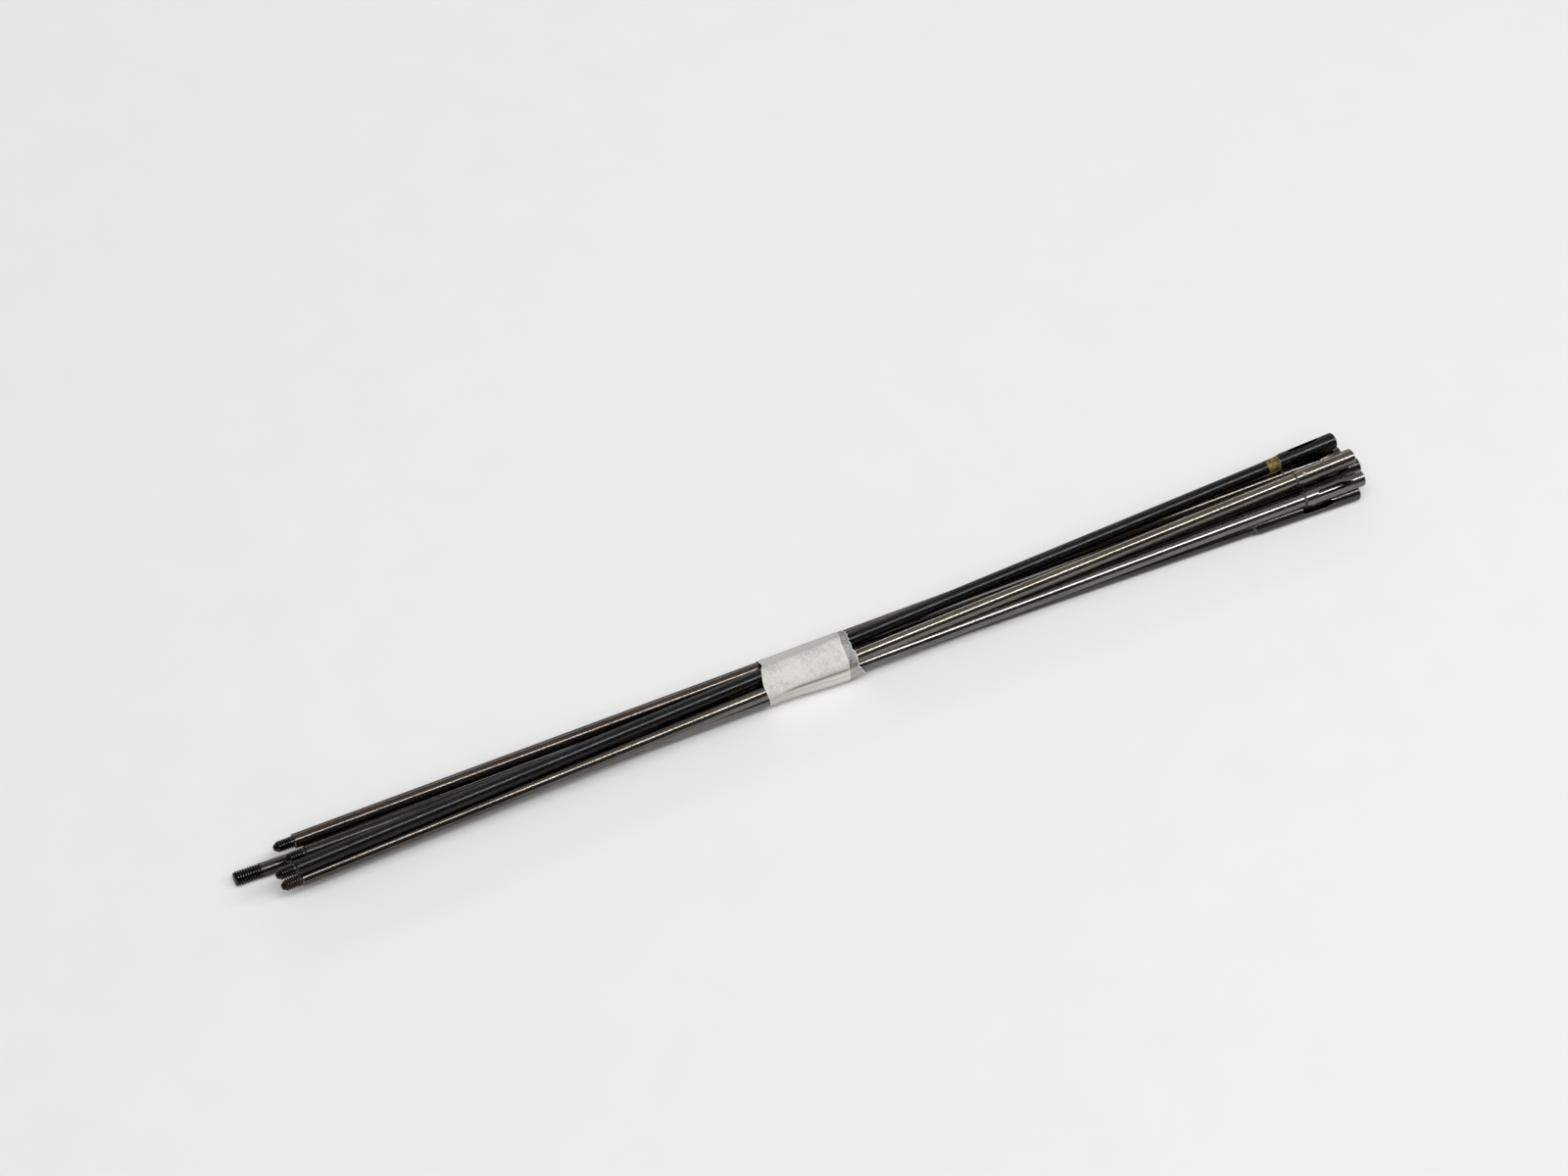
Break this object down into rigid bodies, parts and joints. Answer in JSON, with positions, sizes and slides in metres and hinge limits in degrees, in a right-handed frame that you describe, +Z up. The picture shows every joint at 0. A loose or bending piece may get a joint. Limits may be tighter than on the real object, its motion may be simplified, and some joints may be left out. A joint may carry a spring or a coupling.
{
  "type": "sectional avalanche probe",
  "caption": "Probing rod in screw-together steel sections with threaded studs and slotted socket sleeves, bundled with a band of tape.",
  "frame": {"origin": "on the ground under the middle of the bundle", "axes": "+X along the bundle towards the socket ends, +Y to the back, +Z up"},
  "size_m": [0.6848, 0.0364, 0.0291],
  "materials": {
    "blued_steel": "blued, scratched",
    "brown_steel": "browned, light rust",
    "worn_steel": "worn bright with rust patches",
    "dark_steel": "dark, dull",
    "pitted_steel": "polished, pitted",
    "rod_steel": "plain, dull",
    "brazing_brass": "dull, mottled",
    "brazing_dark": "tarnished nearly black",
    "pin_steel": "rusty",
    "masking_tape": "crepe paper, matt"
  },
  "bodies": {
    "tape": {"tape_inner_turn": "masking_tape", "tape_outer_turn": "masking_tape"},
    "section_1": {"bar_1": "blued_steel", "socket_sleeve_1": "blued_steel", "brazing_1": "brazing_brass", "cross_pin_1": "pin_steel"},
    "section_2": {"bar_2": "brown_steel", "socket_sleeve_2": "brown_steel", "brazing_2": "brazing_dark", "cross_pin_2": "pin_steel"},
    "section_3": {"bar_3": "worn_steel", "socket_sleeve_3": "worn_steel", "brazing_3": "brazing_dark", "cross_pin_3": "pin_steel"},
    "section_4": {"bar_4": "dark_steel", "socket_sleeve_4": "dark_steel", "brazing_4": "brazing_dark", "cross_pin_4": "pin_steel"},
    "section_5": {"bar_5": "pitted_steel", "socket_sleeve_5": "pitted_steel", "brazing_5": "brazing_dark", "cross_pin_5": "pin_steel"},
    "section_6": {"bar_6": "rod_steel", "socket_sleeve_6": "rod_steel", "brazing_6": "brazing_dark", "cross_pin_6": "pin_steel"}
  },
  "joints": [
    {"name": "section_1_slide", "type": "slide", "parent": "tape", "child": "section_1", "axis": [0.9993, 0.0365, 0.0014], "range_m": [0, 0.3]},
    {"name": "section_2_slide", "type": "slide", "parent": "tape", "child": "section_2", "axis": [1, -0.0002, -0.0075], "range_m": [0, 0.3]},
    {"name": "section_3_slide", "type": "slide", "parent": "tape", "child": "section_3", "axis": [0.9998, 0.0126, 0.0173], "range_m": [0, 0.3]},
    {"name": "section_4_slide", "type": "slide", "parent": "tape", "child": "section_4", "axis": [0.9999, -0.0002, -0.0113], "range_m": [0, 0.3]},
    {"name": "section_5_slide", "type": "slide", "parent": "tape", "child": "section_5", "axis": [0.9997, -0.0197, 0.0162], "range_m": [0, 0.3]},
    {"name": "section_6_slide", "type": "slide", "parent": "tape", "child": "section_6", "axis": [0.9994, -0.0358, 0.0012], "range_m": [0, 0.3]}
  ]
}
